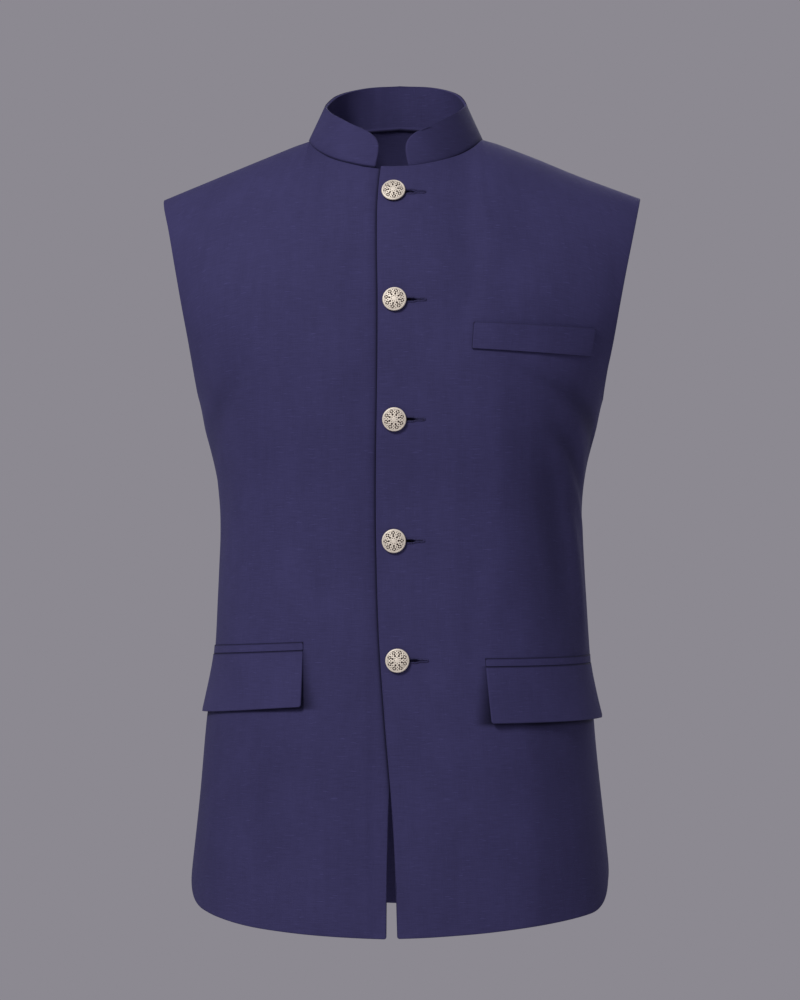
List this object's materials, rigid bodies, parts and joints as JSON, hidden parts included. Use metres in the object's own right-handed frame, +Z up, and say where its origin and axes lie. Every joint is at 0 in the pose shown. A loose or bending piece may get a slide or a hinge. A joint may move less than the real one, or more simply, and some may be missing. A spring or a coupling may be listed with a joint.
{
  "type": "nehru jacket",
  "caption": "Sleeveless stand-collar jacket that buttons down the front, with a chest welt, flapped hip pockets and rounded hems.",
  "frame": {"origin": "between the shoulders, midway across the neck and level with the tops of the shoulder seams", "axes": "+Z up the jacket, towards the collar; -Y out of the front, where the buttons are; +X towards the wearer's left"},
  "size_m": [0.442, 0.2716, 0.7829],
  "materials": {
    "suiting_cloth": "navy plain weave with faint slubs, nearly matt",
    "button_metal": "pale gold in relief with dark recesses, soft shine"
  },
  "bodies": {
    "root": {"front_left": "suiting_cloth", "front_right": "suiting_cloth", "back": "suiting_cloth", "collar": "suiting_cloth", "chest_welt": "suiting_cloth", "hip_jet_left": "suiting_cloth", "hip_jet_right": "suiting_cloth", "hip_flap_left": "suiting_cloth", "hip_flap_right": "suiting_cloth", "button_1": "button_metal", "button_2": "button_metal", "button_3": "button_metal", "button_4": "button_metal", "button_5": "button_metal"}
  },
  "joints": []
}
